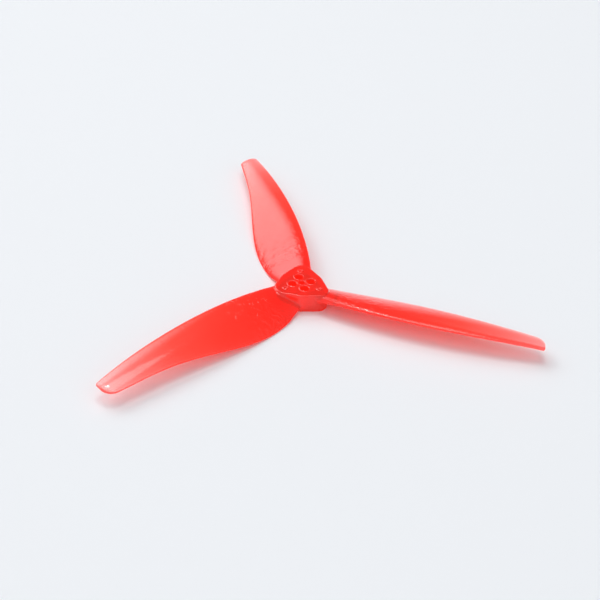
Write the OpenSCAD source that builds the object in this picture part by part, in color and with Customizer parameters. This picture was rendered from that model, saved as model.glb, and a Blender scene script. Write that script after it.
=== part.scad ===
// Three-blade propeller for a small multirotor, clockwise seen from above.
// Units are millimetres. +Z is the thrust direction, the origin is on the spin axis at the
// hub's bottom face, and the first blade points along +X.
// The real part is one moulding. Here the hub carries a short root stub for each blade, and
// each blade meets its stub face to face on a flat plane.

/* [Propeller] */
// Radius from the spin axis to the blade tips
tip_radius = 63.5; // [50:0.5:75]
// Number of blades
blade_count = 3; // [3]
// Distance from the spin axis to the plane where a blade meets its root stub
joint_radius = 9.5; // [8.5:0.1:11]

/* [Hub] */
// Height of the hub
hub_height = 5; // [4:0.1:7]
// Radius of the hub's round core
hub_radius = 5.9; // [5.5:0.1:6.5]
// Radius of the lobe that carries each blade's leading edge
lobe_radius = 2.9; // [2:0.1:3.2]
// Distance from the spin axis to the centre of a lobe
lobe_offset = 4.8; // [4:0.1:5.2]
// Angle from a blade's axis to its lobe, towards the leading edge
lobe_angle = 18; // [10:1:25]

/* [Mounting holes] */
// Diameter of the hole for the motor shaft
shaft_hole_d = 1.5; // [1:0.1:2]
// Diameter of the clearance holes for M2 screws
screw_hole_d = 2.2; // [2:0.1:2.4]
// Diameter of the circle that the screw holes lie on
screw_circle_d = 5; // [4.8:0.1:5.4]
// Number of screw holes
screw_count = 4; // [2, 4]
// Angle of the first screw hole from the first blade
screw_angle = 30; // [0:1:90]

/* [Ejector marks] */
// Diameter of the round dimple left by each ejector pin
mark_d = 1.1; // [0.8:0.1:1.5]
// Depth of the dimples
mark_depth = 0.2; // [0.1:0.05:0.5]
// Distance from the spin axis to a dimple
mark_offset = 5; // [4.8:0.1:5.3]
// Angle from a blade's axis to its dimple, towards the leading edge
mark_angle = 13; // [8:1:20]

/* [Blade section] */
// Thickest point of the section near the hub
root_thickness = 2.5; // [2:0.1:3]
// Thickest point of the section near the tip
tip_thickness = 0.9; // [0.6:0.1:1.2]
// Thickness of the rounded edges
edge_thickness = 0.45; // [0.3:0.05:0.6]
// Camber as a share of the chord
camber = 0.04; // [0:0.005:0.06]
// Length along the blade and depth of the round at the tip's trailing corner
tip_round = 2.4; // [1:0.1:4]
// Size of the round at the tip's leading corner
tip_corner = 0.7; // [0.3:0.1:1.5]
// Length over which the section thins to the rounded end of the tip
tip_thinning = 0.5; // [0.2:0.1:1]

/* [Hidden] */
// Each edge of the blade is a Bezier curve from the root start to the tip, and these are the
// sideways and upward coordinates of its control points, evenly spaced along the blade.
leading_y = [-4.2, -7.2, -8.2, -7, -4.7];
leading_z = [3.6, 5.4, 5.2, 4.9, 5.2, 3.7];
trailing_y = [4.1, 7.2, 8.6, 3.9, 0.7, 1.8, 0.2];
trailing_z = [1.5, -1, -0.4, 3.3, 4.8, 3.5, 3.4];
root_start = 4;
bore_fn = 48;
side_steps = 11;
blade_steps = 34;
stub_steps = 5;
blade_angle = 360 / blade_count;
bore_overrun = 1;
// Largest value of the thickness profile before it is scaled to 1, and where it lies
profile_peak_at = 0.36;
profile_peak = thickness_profile(profile_peak_at);
// Angle between a lobe's axis and the points where the flat flanks touch the two circles
flank_angle = acos((hub_radius - lobe_radius) / lobe_offset);

// Value at t, from 0 to 1, of the Bezier curve with control values p
function choose(n, k) = k == 0 ? 1 : choose(n - 1, k - 1) * n / k;
function bezier(p, t) =
    let (n = len(p) - 1)
    sum([for (k = [0:n]) p[k] * choose(n, k) * pow(1 - t, n - k) * pow(t, k)]);
function sum(v) = [for (k = 0, s = v[0]; k < len(v); k = k + 1, s = s + (k < len(v) ? v[k] : 0)) s][len(v) - 1];

// How far a rounded corner of this size has drawn in the edge at distance x from the axis
function corner_draw(x, size) =
    let (u = max(0, (x - tip_radius + size) / size))
    size * (1 - sqrt(max(0, 1 - u * u)));

// Thickness of the section across the chord, s = 0 at the leading edge and 1 at the trailing
function thickness_profile(s) = sqrt(s) * pow(1 - s, 0.9);
function edge_profile(s) = sqrt(max(0, 1 - pow(abs(2 * s - 1), 8)));
function section_thickness(x) =
    let (t = (x - root_start) / (tip_radius - root_start))
    let (u = max(0, (x - tip_radius + tip_thinning) / tip_thinning))
    (tip_thickness + (root_thickness - tip_thickness) * pow(1 - t, 1.5)) * sqrt(1 - 0.8 * u * u);

// One point of the section at distance x: share s of the chord, side +1 above and -1 below
function section_point(x, s, side) =
    let (t = (x - root_start) / (tip_radius - root_start))
    let (front = [bezier(leading_y, t) + corner_draw(x, tip_corner), bezier(leading_z, t)])
    let (back = [bezier(trailing_y, t) - corner_draw(x, tip_round), bezier(trailing_z, t)])
    let (chord = back - front)
    let (up = [-chord[1], chord[0]] / norm(chord))
    let (thick = section_thickness(x))
    let (edge = edge_thickness * thick / root_thickness)
    let (half = (edge * edge_profile(s) + (thick - edge) * thickness_profile(s) / profile_peak) / 2)
    let (p = front + s * chord + up * (4 * camber * norm(chord) * s * (1 - s) + side * half))
    [x, p[0], p[1]];

// Closed ring of points round the section, over the top and back underneath
function section_ring(x) = concat(
    [for (k = [0:side_steps]) section_point(x, (1 - cos(180 * k / side_steps)) / 2, 1)],
    [for (k = [side_steps - 1:-1:1]) section_point(x, (1 - cos(180 * k / side_steps)) / 2, -1)]);

// Closed solid through the section rings at the given distances from the axis
module sweep_sections(distances) {
    rings = [for (x = distances) section_ring(x)];
    m = len(rings[0]);
    last = len(rings) - 1;
    skin = [for (j = [0:last - 1]) for (k = [0:m - 1]) each [
        [j * m + k, j * m + (k + 1) % m, (j + 1) * m + k],
        [j * m + (k + 1) % m, (j + 1) * m + (k + 1) % m, (j + 1) * m + k]]];
    caps = [[for (k = [m - 1:-1:0]) k], [for (k = [0:m - 1]) last * m + k]];
    polyhedron(points = [for (r = rings) each r], faces = concat(skin, caps));
}

// Distances of the blade's sections, closing up towards the tip's rounded end
function blade_distances() =
    [for (j = [0:blade_steps]) joint_radius + (tip_radius - joint_radius) * sin(90 * j / blade_steps)];
function stub_distances() =
    [for (j = [0:stub_steps]) root_start + (joint_radius - root_start) * j / stub_steps];

// Outline of the hub: a round core and three lobes, joined by flat flanks
module hub_outline() {
    circle(hub_radius, $fn = bore_fn);
    for (k = [0:blade_count - 1])
        rotate(k * blade_angle - lobe_angle) {
            translate([lobe_offset, 0]) circle(lobe_radius, $fn = bore_fn);
            flank = [cos(flank_angle), sin(flank_angle)];
            flip = [flank[0], -flank[1]];
            tip = [lobe_offset, 0];
            polygon([hub_radius * flip, tip + lobe_radius * flip, tip + lobe_radius * flank, hub_radius * flank]);
        }
}

module blade_shape() {
    sweep_sections(blade_distances());
}

module hub() color("red") difference() {
    union() {
        linear_extrude(hub_height) hub_outline();
        for (k = [0:blade_count - 1])
            rotate(k * blade_angle) sweep_sections(stub_distances());
    }
    translate([0, 0, -bore_overrun])
        cylinder(d = shaft_hole_d, h = hub_height + 2 * bore_overrun, $fn = bore_fn);
    for (k = [0:screw_count - 1])
        rotate(screw_angle + k * 360 / screw_count)
            translate([screw_circle_d / 2, 0, -bore_overrun])
                cylinder(d = screw_hole_d, h = hub_height + 2 * bore_overrun, $fn = bore_fn);
    for (k = [0:blade_count - 1])
        rotate(k * blade_angle - mark_angle)
            translate([mark_offset, 0, hub_height - mark_depth])
                cylinder(d = mark_d, h = bore_overrun, $fn = bore_fn);
}

module blade_1() color("tomato") blade_shape();
module blade_2() color("tomato") rotate(blade_angle) blade_shape();
module blade_3() color("tomato") rotate(2 * blade_angle) blade_shape();

hub();
blade_1();
blade_2();
blade_3();
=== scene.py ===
"""Three-blade propeller in clear red plastic, lying on a pale floor.

The hub and the three blades are closed meshes in metres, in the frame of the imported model: the
spin axis is +Z, the origin is at the hub's bottom face and blade_1 points along +X. The shape is
worked out in millimetres by the functions below and scaled once, when a mesh is made.
"""

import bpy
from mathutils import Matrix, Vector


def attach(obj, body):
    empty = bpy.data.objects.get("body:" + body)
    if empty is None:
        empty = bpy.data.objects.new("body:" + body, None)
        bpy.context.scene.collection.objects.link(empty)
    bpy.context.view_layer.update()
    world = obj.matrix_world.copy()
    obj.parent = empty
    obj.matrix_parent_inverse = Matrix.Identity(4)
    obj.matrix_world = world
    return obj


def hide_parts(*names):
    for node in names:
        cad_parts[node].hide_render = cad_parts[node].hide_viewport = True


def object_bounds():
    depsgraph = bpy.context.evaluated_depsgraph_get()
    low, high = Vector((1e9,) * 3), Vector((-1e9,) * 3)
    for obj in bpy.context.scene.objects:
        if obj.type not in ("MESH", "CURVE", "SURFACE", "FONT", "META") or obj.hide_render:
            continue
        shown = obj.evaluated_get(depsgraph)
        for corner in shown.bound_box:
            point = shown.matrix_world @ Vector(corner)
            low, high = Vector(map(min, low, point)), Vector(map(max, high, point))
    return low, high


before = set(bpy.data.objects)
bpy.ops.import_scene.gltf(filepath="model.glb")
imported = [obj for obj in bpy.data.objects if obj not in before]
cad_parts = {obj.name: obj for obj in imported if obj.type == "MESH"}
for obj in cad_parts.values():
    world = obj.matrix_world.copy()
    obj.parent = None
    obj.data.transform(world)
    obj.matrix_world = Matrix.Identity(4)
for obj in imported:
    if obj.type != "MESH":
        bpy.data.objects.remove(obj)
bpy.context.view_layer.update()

from math import acos, comb, cos, pi, radians, sin, sqrt

import bmesh
import bpy
import numpy as np
from mathutils import Matrix, Vector
from mathutils.bvhtree import BVHTree

MM = 0.001

# ---------------------------------------------------------------- driving dimensions, in mm
TIP_RADIUS = 63.5
BLADE_COUNT = 3
BLADE_ANGLE = 2 * pi / BLADE_COUNT
JOINT_RADIUS = 9.5
ROOT_START = 4.0
ROOT_OVERRUN = 1.2

HUB_HEIGHT = 5.0
HUB_RADIUS = 5.9
LOBE_RADIUS = 2.9
LOBE_OFFSET = 4.8
LOBE_ANGLE = radians(18)
FLANK_ANGLE = acos((HUB_RADIUS - LOBE_RADIUS) / LOBE_OFFSET)
TOP_ROUND = 0.45
BOTTOM_ROUND = 0.2

SHAFT_HOLE_R = 0.75
SCREW_HOLE_R = 1.1
SCREW_CIRCLE_R = 2.5
SCREW_COUNT = 4
SCREW_ANGLE = radians(30)
HOLE_CHAMFER = 0.1

LIP_WIDTH = 0.12
HOLE_LIP = 0.07
MARK_LIP = 0.17
MARK_R = 0.45
MARK_DEPTH = 0.16
MARK_OFFSET = 5.0
MARK_ANGLE = radians(13)

ROOT_THICKNESS = 2.5
TIP_THICKNESS = 0.9
EDGE_THICKNESS = 0.45
CAMBER = 0.04
TIP_ROUND = 2.4
TIP_CORNER = 0.7
TIP_THINNING = 0.5

# Course of the blade's thickness: from root to tip, along the chord, and at its outermost end
THINNING_POWER = 1.5
TAIL_POWER = 0.9
THICKEST_AT = 0.36
EDGE_SQUARENESS = 8
TIP_SHARPNESS = 0.8

# Control values of the Bezier curves that the two edges of a blade follow, root to tip
LEADING_Y = (-4.2, -7.2, -8.2, -7.0, -4.7)
LEADING_Z = (3.6, 5.4, 5.2, 4.9, 5.2, 3.7)
TRAILING_Y = (4.1, 7.2, 8.6, 3.9, 0.7, 1.8, 0.2)
TRAILING_Z = (1.5, -1.0, -0.4, 3.3, 4.8, 3.5, 3.4)

# Fineness of the meshes
SIDE_STEPS = 48
BLADE_STEPS = 150
STUB_SIDE_STEPS = 200
STUB_STEPS = 40
LOBE_STEPS = 40
FLANK_STEPS = 10
RIM_STEPS = 7
HOLE_STEPS = 64
VOXEL = 0.08
CUTTER_FLARE = 1.0

# Where the corners at the blade roots are filled out, and over what distance that fades in
FILL_PASSES = 60
FILL_INSIDE = 0.5
FILL_UNDER_TOP, FILL_TOP_FADE = 0.15, 0.5
FILL_OVER_BASE, FILL_BASE_FADE = 0.1, 0.4
FILL_BEFORE_JOINT, FILL_JOINT_FADE = 0.5, 0.8

# Where the roots are laid on the blade's own surface before the joint planes cut them
SETTLE_BEFORE_JOINT, SETTLE_FADE = 0.9, 0.7
SETTLE_OVERRUN = 0.9 * ROOT_OVERRUN
SNAP = 0.15 * VOXEL
CUT_TOLERANCE = 1e-5

# The relief on the hub's top
TOP_DEPTH = 0.1
MARK_WALL = 0.16
MARK_LIP_OUT = 0.15

# A face lies on a joint plane within this distance, in metres, and this cosine
JOINT_DISTANCE = 1e-6
JOINT_COSINE = 0.999

# ---------------------------------------------------------------- looks
PLASTIC_IOR = 1.58
DYE_COLOUR = (1.0, 0.04, 0.03, 1)
DYE_DENSITY = 500
# Painted glow: the plastic gives off a faint red light though it is no lamp, standing in for red
# light that comes through it
GLOW_COLOUR = (1, 0.07, 0.035, 1)
GLOW = 0.17
FLOW_SCALE = 260
FLOW_DETAIL = 3
SMOOTHEST, ROUGHEST = 0.06, 0.13
MOTTLE_SCALE = 480
MOTTLE_DETAIL = 2
MOTTLE_DISTORTION = 1.2
MOTTLE_HEIGHT = 0.00021

# Stops by distance from the axis, in mm: colour, see-through share and strength of the mottling
PLASTIC_STOPS = [
    (0, (1.0, 0.014, 0.009)),
    (9, (1.0, 0.017, 0.011)),
    (18, (1.0, 0.045, 0.026)),
    (30, (1.0, 0.09, 0.06)),
    (42, (1.0, 0.16, 0.12)),
    (54, (1.0, 0.34, 0.31)),
    (63.5, (1.0, 0.62, 0.61)),
]
CLEARNESS_STOPS = [(0, 0.4), (7, 0.45), (14, 0.65), (30, 0.72), (63.5, 0.88)]
MOTTLE_STOPS = [(0, 0.03), (10, 0.05), (12, 1.0), (19, 0.9), (27, 0.2), (63.5, 0.06)]

FLOOR_SIZE = 4.0
FLOOR_COLOUR = (0.86, 0.875, 0.9, 1)
FLOOR_ROUGHNESS = 0.7

# The room: even light, less from behind and above, and a soft window between sill and head
ROOM_COLOUR = (0.97, 0.985, 1.0, 1)
ROOM_LIGHT = 0.65
ROOM_SHADE = 0.5
SHADE_BEHIND = (0.0, 0.5)
SHADE_RAISED = (0.06, 0.3)
WINDOW_GLOW = 3.2
WINDOW_AZIMUTH = radians(149)
WINDOW_ELEVATION = radians(40)
WINDOW_EDGE = (radians(36), radians(18))
WINDOW_SILL = (radians(18), radians(30))
WINDOW_HEAD = (radians(47), radians(60))

# Lamps: name, azimuth, elevation, size in metres, power in watts
LAMP_DISTANCE = 1.2
LAMPS = [
    ("overhead_light", radians(110), radians(76), 0.6, 2.9),
    ("small_lamp", radians(118), radians(70), 0.14, 0.9),
]

CAMERA_AZIMUTH = radians(9.52)
CAMERA_ELEVATION = radians(37.28)
CAMERA_ROLL = radians(6.52)
CAMERA_DISTANCE = 0.3014
CAMERA_AIM = Vector((0.0002, -0.0009, 0))
CAMERA_LENS = 69.65
CAMERA_SENSOR = 36
CAMERA_CLIP = 0.01


# ---------------------------------------------------------------- blade shape
def bezier(values, t):
    """Value at t of the Bezier curve with these control values."""
    n = len(values) - 1
    return sum(v * comb(n, k) * (1 - t) ** (n - k) * t**k for k, v in enumerate(values))


def corner_draw(x, size):
    """How far a rounded tip corner has drawn its edge in at distance x from the axis."""
    u = max(0.0, (x - TIP_RADIUS + size) / size)
    return size * (1 - sqrt(max(0.0, 1 - u * u)))


def section_thickness(x):
    """Greatest thickness of the blade at distance x from the axis."""
    t = (x - ROOT_START) / (TIP_RADIUS - ROOT_START)
    u = max(0.0, (x - TIP_RADIUS + TIP_THINNING) / TIP_THINNING)
    full = TIP_THICKNESS + (ROOT_THICKNESS - TIP_THICKNESS) * (1 - t) ** THINNING_POWER
    return full * sqrt(1 - TIP_SHARPNESS * u * u)


def thickness_profile(s):
    """Thickness at share s of the chord, blunt at the leading edge and thin at the trailing one."""
    return np.sqrt(s) * (1 - s) ** TAIL_POWER


def section_ring(x, side_steps):
    """Points round the blade's section at distance x: over the top, then back underneath."""
    t = (x - ROOT_START) / (TIP_RADIUS - ROOT_START)
    front = np.array([bezier(LEADING_Y, t) + corner_draw(x, TIP_CORNER), bezier(LEADING_Z, t)])
    back = np.array([bezier(TRAILING_Y, t) - corner_draw(x, TIP_ROUND), bezier(TRAILING_Z, t)])
    chord = back - front
    length = np.hypot(*chord)
    up = np.array([-chord[1], chord[0]]) / length
    s = (1 - np.cos(np.linspace(0, pi, side_steps + 1))) / 2
    thick = section_thickness(x)
    edge = EDGE_THICKNESS * thick / ROOT_THICKNESS
    edge_profile = np.sqrt(np.maximum(0, 1 - np.abs(2 * s - 1) ** EDGE_SQUARENESS))
    body_profile = thickness_profile(s) / thickness_profile(THICKEST_AT)
    half = (edge * edge_profile + (thick - edge) * body_profile) / 2
    bow = 4 * CAMBER * length * s * (1 - s)
    middle = front + s[:, None] * chord + up * bow[:, None]
    above = middle + up * half[:, None]
    below = (middle - up * half[:, None])[-2:0:-1]
    ring = np.vstack([above, below])
    return np.column_stack([np.full(len(ring), x), ring])


def sweep_sections(distances, side_steps):
    """Vertices and faces of the closed solid through the sections, with its two end caps last."""
    rings = [section_ring(x, side_steps) for x in distances]
    m = len(rings[0])
    faces = [
        (j * m + (k + 1) % m, j * m + k, (j + 1) * m + k, (j + 1) * m + (k + 1) % m)
        for j in range(len(rings) - 1)
        for k in range(m)
    ]
    last = (len(rings) - 1) * m
    faces.append(tuple(range(m)))
    faces.append(tuple(range(last + m - 1, last - 1, -1)))
    return np.vstack(rings), faces


def turned(points, angle):
    """The points turned about the spin axis."""
    c, s = cos(angle), sin(angle)
    return points @ np.array([[c, s, 0], [-s, c, 0], [0, 0, 1]])


# ---------------------------------------------------------------- meshes
def new_mesh(name, vertices, faces):
    mesh = bpy.data.meshes.new(name)
    mesh.from_pydata([tuple(v) for v in vertices], [], faces)
    mesh.validate()
    mesh.update()
    return mesh


def new_object(name, mesh):
    obj = bpy.data.objects.new(name, mesh)
    bpy.context.scene.collection.objects.link(obj)
    return obj


def applied(obj):
    """The object's mesh with its modifiers applied; the object itself is removed."""
    graph = bpy.context.evaluated_depsgraph_get()
    mesh = bpy.data.meshes.new_from_object(obj.evaluated_get(graph))
    bpy.data.objects.remove(obj)
    return mesh


def hub_outline(inset):
    """Points round the hub's rounded triangle, drawn in by inset."""
    points = []
    for k in range(BLADE_COUNT):
        lobe = k * BLADE_ANGLE - LOBE_ANGLE
        x, y = LOBE_OFFSET * cos(lobe), LOBE_OFFSET * sin(lobe)
        end, following = lobe + FLANK_ANGLE, lobe + BLADE_ANGLE - FLANK_ANGLE
        r = LOBE_RADIUS - inset
        for a in np.linspace(lobe - FLANK_ANGLE, end, LOBE_STEPS):
            points.append((x + r * cos(a), y + r * sin(a)))
        r = HUB_RADIUS - inset
        for a in np.linspace(end, following, FLANK_STEPS)[1:-1]:
            points.append((r * cos(a), r * sin(a)))
    return points


def stack(rings):
    """Closed solid through rings of equal length, lowest first."""
    m = len(rings[0])
    vertices = [p for ring in rings for p in ring]
    faces = [
        (j * m + k, j * m + (k + 1) % m, (j + 1) * m + (k + 1) % m, (j + 1) * m + k)
        for j in range(len(rings) - 1)
        for k in range(m)
    ]
    last = (len(rings) - 1) * m
    faces.append(tuple(range(m - 1, -1, -1)))
    faces.append(tuple(range(last, last + m)))
    return vertices, faces


def hub_plate():
    """The hub's rounded plate with softly rounded rims."""
    steps = np.linspace(0, pi / 2, RIM_STEPS)
    levels = [(BOTTOM_ROUND * (1 - sin(a)), BOTTOM_ROUND * (1 - cos(a))) for a in steps]
    levels += [
        (TOP_ROUND * (1 - cos(a)), HUB_HEIGHT - TOP_ROUND * (1 - sin(a))) for a in steps
    ]
    return stack([[(x, y, z) for x, y in hub_outline(inset)] for inset, z in levels])


def hole_cutter(x, y, radius):
    """A round cutter that also chamfers the hole's two rims."""
    wide = radius + HOLE_CHAMFER + CUTTER_FLARE
    levels = [
        (wide, -CUTTER_FLARE),
        (radius, HOLE_CHAMFER),
        (radius, HUB_HEIGHT - HOLE_CHAMFER),
        (wide, HUB_HEIGHT + CUTTER_FLARE),
    ]
    turns = np.linspace(0, 2 * pi, HOLE_STEPS, endpoint=False)
    return stack([[(x + r * cos(a), y + r * sin(a), z) for a in turns] for r, z in levels])


def hole_spots():
    """Centre and radius of the shaft hole and of each screw hole."""
    turns = [SCREW_ANGLE + 2 * pi * k / SCREW_COUNT for k in range(SCREW_COUNT)]
    r = SCREW_CIRCLE_R
    return [(0.0, 0.0, SHAFT_HOLE_R)] + [(r * cos(a), r * sin(a), SCREW_HOLE_R) for a in turns]


def hub_mesh():
    """Plate, holes and root stubs fused, with the inner corners at the blade roots filled out."""
    plate = new_object("plate", new_mesh("plate", *hub_plate()))
    cutters = []
    for x, y, radius in hole_spots():
        cutter = new_object("cutter", new_mesh("cutter", *hole_cutter(x, y, radius)))
        cut = plate.modifiers.new("hole", "BOOLEAN")
        cut.operation = "DIFFERENCE"
        cut.solver = "EXACT"
        cut.object = cutter
        cutters.append(cutter)
    drilled = applied(plate)
    for cutter in cutters:
        bpy.data.objects.remove(cutter)

    whole = bmesh.new()
    whole.from_mesh(drilled)
    far = JOINT_RADIUS + ROOT_OVERRUN
    stub, faces = sweep_sections(np.linspace(ROOT_START, far, STUB_STEPS + 1), STUB_SIDE_STEPS)
    for k in range(BLADE_COUNT):
        whole.from_mesh(new_mesh("stub", turned(stub, k * BLADE_ANGLE), faces))
    joined = bpy.data.meshes.new("joined")
    whole.to_mesh(joined)
    whole.free()
    fused = new_object("fused", joined)
    remesh = fused.modifiers.new("fuse", "REMESH")
    remesh.mode = "VOXEL"
    remesh.voxel_size = VOXEL
    remesh.adaptivity = 0
    mesh = applied(fused)
    fill_root_corners(mesh)
    settle_on_stubs(mesh, stub, faces)
    press_marks(mesh)
    return mesh


def coordinates(mesh):
    """The mesh's vertices as rows of an array."""
    co = np.empty(len(mesh.vertices) * 3)
    mesh.vertices.foreach_get("co", co)
    return co.reshape(-1, 3)


def smooth_step(value):
    """0 below 0, 1 above 1, and a smooth rise between."""
    value = np.clip(value, 0, 1)
    return value * value * (3 - 2 * value)


def outside_plate(co):
    """How far each point lies outside the hub's outline, in plan."""
    outline = np.array(hub_outline(0))
    radius = np.hypot(outline[:, 0], outline[:, 1])
    angle = np.arctan2(outline[:, 1], outline[:, 0])
    order = np.argsort(angle)
    at = np.arctan2(co[:, 1], co[:, 0])
    return np.hypot(co[:, 0], co[:, 1]) - np.interp(at, angle[order], radius[order], period=2 * pi)


def fill_root_corners(mesh):
    """Relaxes the surface where the blades leave the plate, which rounds the corners there."""
    co = coordinates(mesh)
    edges = np.empty(len(mesh.edges) * 2, int)
    mesh.edges.foreach_get("vertices", edges)
    a, b = edges.reshape(-1, 2).T
    count = np.bincount(a, minlength=len(co)) + np.bincount(b, minlength=len(co))
    reach = np.max([turned(co, -k * BLADE_ANGLE)[:, 0] for k in range(BLADE_COUNT)], axis=0)
    weight = smooth_step((outside_plate(co) + FILL_INSIDE) / FILL_INSIDE)
    weight *= smooth_step((HUB_HEIGHT - FILL_UNDER_TOP - co[:, 2]) / FILL_TOP_FADE)
    weight *= smooth_step((JOINT_RADIUS - FILL_BEFORE_JOINT - reach) / FILL_JOINT_FADE)
    weight *= smooth_step((co[:, 2] - FILL_OVER_BASE) / FILL_BASE_FADE)
    for _ in range(FILL_PASSES):
        sums = [
            np.bincount(a, co[b, i], len(co)) + np.bincount(b, co[a, i], len(co))
            for i in range(3)
        ]
        total = np.stack(sums, axis=1)
        co += 0.5 * weight[:, None] * (total / count[:, None] - co)
    mesh.vertices.foreach_set("co", co.ravel())
    mesh.update()


def settle_on_stubs(mesh, stub, faces):
    """Lays the outer end of each root on the blade's own surface, so that the two meet flush."""
    co = coordinates(mesh)
    for k in range(BLADE_COUNT):
        angle = k * BLADE_ANGLE
        tree = BVHTree.FromPolygons([tuple(p) for p in turned(stub, angle)], faces)
        past = turned(co, -angle)[:, 0] - JOINT_RADIUS
        weight = smooth_step((past + SETTLE_BEFORE_JOINT) / SETTLE_FADE)
        for i in np.flatnonzero(weight > 0):
            spot = np.array(tree.find_nearest(Vector(co[i]))[0])
            if turned(spot[None], -angle)[0, 0] < JOINT_RADIUS + SETTLE_OVERRUN:
                co[i] += weight[i] * (spot - co[i])
    mesh.vertices.foreach_set("co", co.ravel())
    mesh.update()


def ring_lip(r, radius, height):
    """Height of the thin moulded lip round a hole or mark, at distance r from its centre."""
    return height * np.exp(-(((r - radius) / LIP_WIDTH) ** 2))


def press_marks(mesh):
    """The ring that each ejector pin leaves in the hub's top, and the fine lips round the holes."""
    co = coordinates(mesh)
    on_top = co[:, 2] > HUB_HEIGHT - TOP_DEPTH
    rise = np.zeros(len(co))
    for k in range(BLADE_COUNT):
        a = k * BLADE_ANGLE - MARK_ANGLE
        r = np.hypot(co[:, 0] - MARK_OFFSET * cos(a), co[:, 1] - MARK_OFFSET * sin(a))
        rise -= MARK_DEPTH * smooth_step((MARK_R + MARK_WALL / 2 - r) / MARK_WALL)
        rise += ring_lip(r, MARK_R + MARK_LIP_OUT, MARK_LIP)
    for x, y, radius in hole_spots():
        r = np.hypot(co[:, 0] - x, co[:, 1] - y)
        rise += ring_lip(r, radius + HOLE_CHAMFER + LIP_WIDTH, HOLE_LIP)
    co[:, 2] += np.where(on_top, rise, 0)
    mesh.vertices.foreach_set("co", co.ravel())
    mesh.update()


def joint_directions():
    """Unit vector from the spin axis along each blade."""
    return [Vector((cos(k * BLADE_ANGLE), sin(k * BLADE_ANGLE), 0)) for k in range(BLADE_COUNT)]


def on_joint_plane(face):
    """Whether a face of a mesh in metres closes one of the joint planes."""
    return any(
        abs(face.center.dot(out) - JOINT_RADIUS * MM) < JOINT_DISTANCE
        and abs(face.normal.dot(out)) > JOINT_COSINE
        for out in joint_directions()
    )


def finished(name, mesh, body_finish, joint_finish, node):
    """Scales a mesh to metres, gives its joint planes their finish and stands it in for the node.

    The rims of the joint planes are sharp, so that the body's shading runs on across the joint.
    """
    mesh.transform(Matrix.Scale(MM, 4))
    mesh.materials.clear()
    mesh.materials.append(body_finish)
    mesh.materials.append(joint_finish)
    for face in mesh.polygons:
        closes_joint = on_joint_plane(face)
        face.material_index = int(closes_joint)
        face.use_smooth = not closes_joint
    rims = {key for face in mesh.polygons if face.material_index for key in face.edge_keys}
    for edge in mesh.edges:
        edge.use_edge_sharp = edge.key in rims
    obj = new_object(name, mesh)
    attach(obj, "root")
    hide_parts(node)


def cut_at_joints(mesh):
    """Cuts the hub flat at each joint plane and closes the cuts."""
    bm = bmesh.new()
    bm.from_mesh(mesh)
    for out in joint_directions():
        for v in bm.verts:
            short = JOINT_RADIUS - v.co.dot(out)
            if abs(short) < SNAP:
                v.co += short * out
        cut = bmesh.ops.bisect_plane(
            bm,
            geom=bm.verts[:] + bm.edges[:] + bm.faces[:],
            dist=CUT_TOLERANCE,
            plane_co=out * JOINT_RADIUS,
            plane_no=out,
            clear_outer=True,
        )
        rim = [e for e in cut["geom_cut"] if isinstance(e, bmesh.types.BMEdge)]
        bmesh.ops.contextual_create(bm, geom=rim)
    bmesh.ops.recalc_face_normals(bm, faces=bm.faces[:])
    bm.to_mesh(mesh)
    bm.free()
    mesh.update()


# ---------------------------------------------------------------- clear red plastic
def axis_distance(nodes, links):
    """Nodes that give the distance from the spin axis, as a share of the tip radius."""
    place = nodes.new("ShaderNodeTexCoord")
    flat = nodes.new("ShaderNodeVectorMath")
    flat.operation = "MULTIPLY"
    flat.inputs[1].default_value = (1, 1, 0)
    links.new(place.outputs["Object"], flat.inputs[0])
    radius = nodes.new("ShaderNodeVectorMath")
    radius.operation = "LENGTH"
    links.new(flat.outputs["Vector"], radius.inputs[0])
    share = nodes.new("ShaderNodeMath")
    share.operation = "DIVIDE"
    share.inputs[1].default_value = TIP_RADIUS * MM
    links.new(radius.outputs["Value"], share.inputs[0])
    return place, share.outputs["Value"]


def ramp_by(nodes, links, share, stops):
    """A ramp over that share, from stops of a distance from the axis in mm and a colour or grey."""
    ramp = nodes.new("ShaderNodeValToRGB")
    links.new(share, ramp.inputs["Fac"])
    for at, _ in stops[1:-1]:
        ramp.color_ramp.elements.new(at / TIP_RADIUS)
    for element, (at, colour) in zip(ramp.color_ramp.elements, stops):
        element.position = at / TIP_RADIUS
        element.color = (*colour, 1) if isinstance(colour, tuple) else (colour, colour, colour, 1)
    return ramp.outputs["Color"]


def noise(nodes, links, place, scale, detail, distortion=0.0):
    """Nodes for a noise over the object's own coordinates."""
    node = nodes.new("ShaderNodeTexNoise")
    node.inputs["Scale"].default_value = scale
    node.inputs["Detail"].default_value = detail
    node.inputs["Distortion"].default_value = distortion
    links.new(place.outputs["Object"], node.inputs["Vector"])
    return node.outputs["Fac"]


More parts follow.
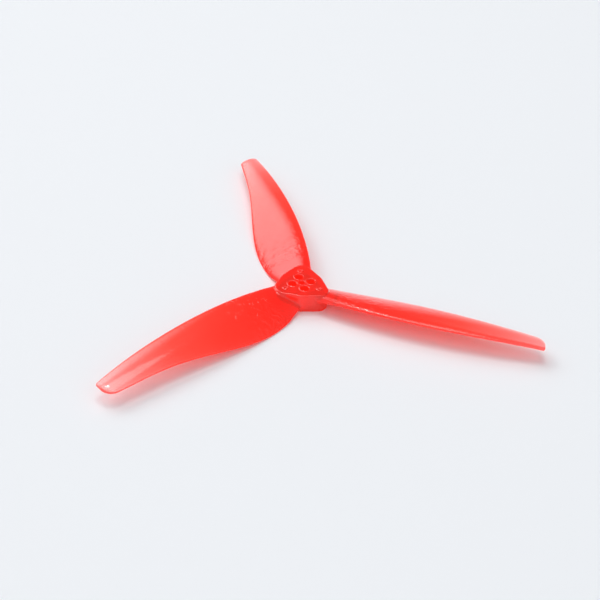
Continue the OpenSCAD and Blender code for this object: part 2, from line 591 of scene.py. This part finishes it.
def clear_red(name):
    """Glossy dyed plastic: see-through, deeper where thick, slightly uneven from moulding, and
    giving off a painted red glow that stands in for light coming through it.
    """
    material = bpy.data.materials.new(name)
    material.use_nodes = True
    nodes, links = material.node_tree.nodes, material.node_tree.links
    shader = nodes["Principled BSDF"]
    shader.inputs["IOR"].default_value = PLASTIC_IOR
    # Painted glow: a faint red light given off by the plastic itself, standing in for light coming
    # through it
    shader.inputs["Emission Color"].default_value = GLOW_COLOUR
    shader.inputs["Emission Strength"].default_value = GLOW
    place, share = axis_distance(nodes, links)
    links.new(ramp_by(nodes, links, share, PLASTIC_STOPS), shader.inputs["Base Color"])
    links.new(ramp_by(nodes, links, share, CLEARNESS_STOPS), shader.inputs["Transmission Weight"])

    rough = nodes.new("ShaderNodeMapRange")
    rough.inputs["To Min"].default_value = SMOOTHEST
    rough.inputs["To Max"].default_value = ROUGHEST
    flow = noise(nodes, links, place, FLOW_SCALE, FLOW_DETAIL)
    links.new(flow, rough.inputs["Value"])
    links.new(rough.outputs["Result"], shader.inputs["Roughness"])

    bump = nodes.new("ShaderNodeBump")
    bump.inputs["Distance"].default_value = MOTTLE_HEIGHT
    mottle = noise(nodes, links, place, MOTTLE_SCALE, MOTTLE_DETAIL, MOTTLE_DISTORTION)
    links.new(mottle, bump.inputs["Height"])
    links.new(ramp_by(nodes, links, share, MOTTLE_STOPS), bump.inputs["Strength"])
    links.new(bump.outputs["Normal"], shader.inputs["Normal"])
    dye_in(nodes, links)
    return material


def dye_in(nodes, links):
    """The dye through the plastic, which deepens the colour with the light's way through it."""
    depth = nodes.new("ShaderNodeVolumeAbsorption")
    depth.inputs["Color"].default_value = DYE_COLOUR
    depth.inputs["Density"].default_value = DYE_DENSITY
    links.new(depth.outputs["Volume"], nodes["Material Output"].inputs["Volume"])


def joint_plane():
    """The inner plane where a blade meets the hub, which light passes as in one piece of plastic."""
    material = bpy.data.materials.new("joint_plane")
    material.use_nodes = True
    shader = material.node_tree.nodes["Principled BSDF"]
    shader.inputs["IOR"].default_value = 1.0
    shader.inputs["Roughness"].default_value = 0.0
    shader.inputs["Transmission Weight"].default_value = 1.0
    shader.inputs["Base Color"].default_value = (1, 1, 1, 1)
    dye_in(material.node_tree.nodes, material.node_tree.links)
    return material


hub_finish = clear_red("hub_plastic")
blade_finish = clear_red("blade_plastic")
joint_finish = joint_plane()

# ---------------------------------------------------------------- the propeller
hub_body = hub_mesh()
cut_at_joints(hub_body)
finished("hub_moulding", hub_body, hub_finish, joint_finish, "hub")

spread = np.sin(np.linspace(0, pi / 2, BLADE_STEPS + 1))
distances = JOINT_RADIUS + (TIP_RADIUS - JOINT_RADIUS) * spread
blade_points, blade_faces = sweep_sections(distances, SIDE_STEPS)
for k in range(BLADE_COUNT):
    node = f"blade_{k + 1}"
    name = f"{node}_moulding"
    blade = new_mesh(name, turned(blade_points, k * BLADE_ANGLE), blade_faces)
    finished(name, blade, blade_finish, joint_finish, node)

# ---------------------------------------------------------------- floor, light and camera
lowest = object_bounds()[0][2]
corners = [
    (x * FLOOR_SIZE / 2, y * FLOOR_SIZE / 2, lowest)
    for x, y in ((-1, -1), (1, -1), (1, 1), (-1, 1))
]
floor = new_object("floor", new_mesh("floor", corners, [(0, 1, 2, 3)]))
floor_paint = bpy.data.materials.new("floor_paint")
floor_paint.use_nodes = True
paint = floor_paint.node_tree.nodes["Principled BSDF"]
paint.inputs["Base Color"].default_value = FLOOR_COLOUR
paint.inputs["Roughness"].default_value = FLOOR_ROUGHNESS
floor.data.materials.append(floor_paint)


def sky_ramp(nodes, links, way, low, high):
    """0 to 1 as the dot product of the view direction with way goes from low to high."""
    dot = nodes.new("ShaderNodeVectorMath")
    dot.operation = "DOT_PRODUCT"
    dot.inputs[1].default_value = way
    links.new(nodes["Look"].outputs["Generated"], dot.inputs[0])
    ramp = nodes.new("ShaderNodeMapRange")
    ramp.interpolation_type = "SMOOTHSTEP"
    ramp.inputs["From Min"].default_value = low
    ramp.inputs["From Max"].default_value = high
    links.new(dot.outputs["Value"], ramp.inputs["Value"])
    return ramp.outputs["Result"]


def maths(nodes, links, operation, first, second):
    """A maths node over two inputs, each a number or another node's output."""
    node = nodes.new("ShaderNodeMath")
    node.operation = operation
    for socket, value in zip(node.inputs, (first, second)):
        if isinstance(value, (int, float)):
            socket.default_value = value
        else:
            links.new(value, socket)
    return node.outputs["Value"]


def direction(azimuth, elevation):
    """Unit vector at an azimuth from +X, anticlockwise, and an elevation, both in radians."""
    flat = cos(elevation)
    return Vector((cos(azimuth) * flat, sin(azimuth) * flat, sin(elevation)))


def pale_room():
    """Soft light from all round, dimmer behind and above, with a soft window at the left."""
    world = bpy.data.worlds.new("room")
    bpy.context.scene.world = world
    world.use_nodes = True
    nodes, links = world.node_tree.nodes, world.node_tree.links
    nodes.new("ShaderNodeTexCoord").name = "Look"
    edges = [cos(angle) for angle in WINDOW_EDGE]
    sill = [sin(angle) for angle in WINDOW_SILL]
    head = [sin(angle) for angle in WINDOW_HEAD]
    window = sky_ramp(nodes, links, direction(WINDOW_AZIMUTH, WINDOW_ELEVATION), *edges)
    above_sill = sky_ramp(nodes, links, (0, 0, 1), *sill)
    above_head = sky_ramp(nodes, links, (0, 0, 1), *head)
    window = maths(nodes, links, "MULTIPLY", window, above_sill)
    window = maths(nodes, links, "MULTIPLY", window, maths(nodes, links, "SUBTRACT", 1, above_head))
    behind = sky_ramp(nodes, links, (0, 1, 0), *SHADE_BEHIND)
    raised = sky_ramp(nodes, links, (0, 0, 1), *SHADE_RAISED)
    shade = maths(nodes, links, "MULTIPLY", behind, raised)
    shade = maths(nodes, links, "MULTIPLY", shade, -ROOM_SHADE)
    light = maths(nodes, links, "MULTIPLY", window, WINDOW_GLOW)
    light = maths(nodes, links, "ADD", light, maths(nodes, links, "ADD", shade, ROOM_LIGHT))
    backdrop = nodes["Background"]
    backdrop.inputs["Color"].default_value = ROOM_COLOUR
    links.new(light, backdrop.inputs["Strength"])


pale_room()


def soft_light(name, azimuth, elevation, size, power):
    """A square soft light that faces the hub."""
    lamp = bpy.data.lights.new(name, "AREA")
    lamp.size = size
    lamp.energy = power
    obj = new_object(name, lamp)
    way = direction(azimuth, elevation)
    obj.location = way * LAMP_DISTANCE
    obj.rotation_euler = way.to_track_quat("Z", "Y").to_euler()


for lamp_values in LAMPS:
    soft_light(*lamp_values)

ahead = Vector(
    (
        -sin(CAMERA_AZIMUTH) * cos(CAMERA_ELEVATION),
        cos(CAMERA_AZIMUTH) * cos(CAMERA_ELEVATION),
        -sin(CAMERA_ELEVATION),
    )
)
level = Vector((cos(CAMERA_AZIMUTH), sin(CAMERA_AZIMUTH), 0))
upright = level.cross(ahead)
right = level * cos(CAMERA_ROLL) + upright * sin(CAMERA_ROLL)
above = upright * cos(CAMERA_ROLL) - level * sin(CAMERA_ROLL)
lens = bpy.data.cameras.new("camera")
lens.lens = CAMERA_LENS
lens.sensor_width = CAMERA_SENSOR
lens.clip_start = CAMERA_CLIP
camera = new_object("camera", lens)
axes = Matrix((right, above, -ahead)).transposed().to_4x4()
camera.matrix_world = Matrix.Translation(CAMERA_AIM - ahead * CAMERA_DISTANCE) @ axes
bpy.context.scene.camera = camera
bpy.context.scene.view_settings.view_transform = "Standard"
